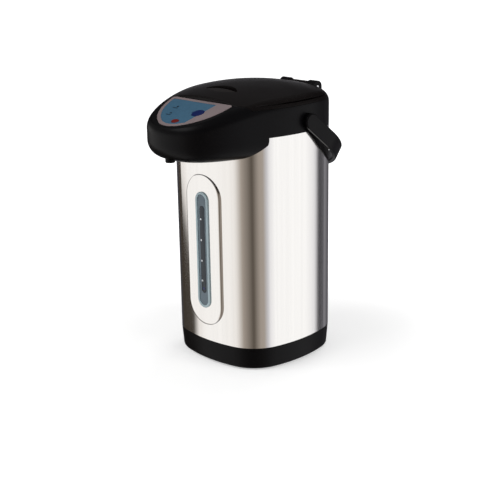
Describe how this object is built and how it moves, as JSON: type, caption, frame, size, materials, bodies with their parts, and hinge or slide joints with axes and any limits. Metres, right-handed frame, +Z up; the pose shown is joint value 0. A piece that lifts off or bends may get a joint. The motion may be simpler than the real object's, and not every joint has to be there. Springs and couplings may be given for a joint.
{
  "type": "electric thermo pot",
  "caption": "Rounded-square electric thermo pot: brushed steel casing, black base and nosed head with sloping key panel, front level gauge, hinged domed lid with lever, swinging bail handle.",
  "frame": {"origin": "centre of the foot ring, on the surface the pot stands on", "axes": "+Z up; the nose and gauge face -Y; +X to the right seen from behind the nose looking at +Y"},
  "size_m": [0.2044, 0.2765, 0.377],
  "materials": {
    "rubber_grey": "soft matte rubber",
    "black_plastic": "semi-gloss moulded",
    "screw_steel": "plated",
    "brushed_steel": "vertically brushed",
    "clear_plastic": "clear gloss",
    "gauge_tint": "translucent tinted",
    "float_blue": "gloss",
    "pot_steel": "drawn, satin",
    "silicone": "soft translucent",
    "cast_aluminium": "cast",
    "white_plastic": "matte",
    "motor_steel": "plated",
    "circuit_board": "laminate",
    "brass": "bare",
    "panel_silver": "painted satin, pinkish silver",
    "panel_blue": "printed film, teal blue",
    "lamp": "clear gloss",
    "key_blue": "gloss",
    "key_red": "gloss",
    "lever_plastic": "semi-gloss moulded, lighter"
  },
  "bodies": {
    "pot": {"foot_ring": "rubber_grey", "bottom_cover": "black_plastic", "bottom_screws": "screw_steel", "base_skirt": "black_plastic", "tie_rods": "screw_steel", "outer_shell": "brushed_steel", "gauge_bezel": "clear_plastic", "gauge_window": "gauge_tint", "gauge_tube": "clear_plastic", "inner_pot": "pot_steel", "pot_screws": "screw_steel", "pot_rim_seal": "silicone", "pot_strainer": "pot_steel", "heater_plate": "cast_aluminium", "thermostat": "cast_aluminium", "pump_housing": "white_plastic", "pump_motor": "motor_steel", "pump_inlet_hose": "silicone", "pump_outlet_hose": "silicone", "spout_hose": "silicone", "spout_nozzle": "black_plastic", "power_board": "circuit_board", "board_screws": "screw_steel", "inlet_socket": "black_plastic", "inlet_pins": "brass", "head_housing": "black_plastic", "hinge_pin": "pot_steel", "panel_bezel": "panel_silver", "panel_overlay": "panel_blue", "panel_board": "circuit_board", "panel_screws": "screw_steel", "indicator_lamps": "lamp"},
    "pump_impeller": {"pump_impeller": "white_plastic"},
    "float": {"gauge_float": "float_blue"},
    "lid": {"lid_cover": "black_plastic", "lid_underplate": "black_plastic", "inner_lid_plate": "pot_steel", "lid_gasket": "silicone", "lid_screws": "screw_steel", "steam_vent": "black_plastic", "lever_pin": "screw_steel"},
    "lever": {"lid_lever": "lever_plastic"},
    "latch": {"lid_latch": "white_plastic"},
    "handle": {"carry_handle": "black_plastic", "handle_clips": "screw_steel"},
    "dispense_key": {"dispense_key": "key_blue"},
    "reboil_key": {"reboil_key": "key_red"}
  },
  "joints": [
    {"name": "lid_hinge", "type": "hinge", "parent": "pot", "child": "lid", "pos_m": [0, 0.096, 0.36], "axis": [-1, 0, 0], "range_deg": [0, 85]},
    {"name": "lever_pivot", "type": "hinge", "parent": "lid", "child": "lever", "pos_m": [0, -0.062, 0.36862], "axis": [1, 0, 0], "range_deg": [0, 20]},
    {"name": "latch_slide", "type": "slide", "parent": "lid", "child": "latch", "axis": [0, 1, 0], "range_m": [0, 0.00314], "stiffness_N_per_m": 8},
    {"name": "handle_swing", "type": "hinge", "parent": "pot", "child": "handle", "pos_m": [0, 0.01, 0.332], "axis": [1, 0, 0], "range_deg": [0, 128]},
    {"name": "float_rise", "type": "slide", "parent": "pot", "child": "float", "axis": [0, 0, 1], "range_m": [0, 0.118]},
    {"name": "impeller_spin", "type": "hinge", "parent": "pot", "child": "pump_impeller", "pos_m": [0, -0.052, 0.04], "axis": [0, 0, 1], "continuous": true},
    {"name": "dispense_press", "type": "slide", "parent": "pot", "child": "dispense_key", "axis": [0, 0.3289, -0.9444], "range_m": [0, 0.0012], "stiffness_N_per_m": 400},
    {"name": "reboil_press", "type": "slide", "parent": "pot", "child": "reboil_key", "axis": [0, 0.3289, -0.9444], "range_m": [0, 0.0012], "stiffness_N_per_m": 400}
  ],
  "couplings": [
    {"joint": "lever_pivot", "follows": "latch_slide", "rad_per_m": 111.11}
  ]
}
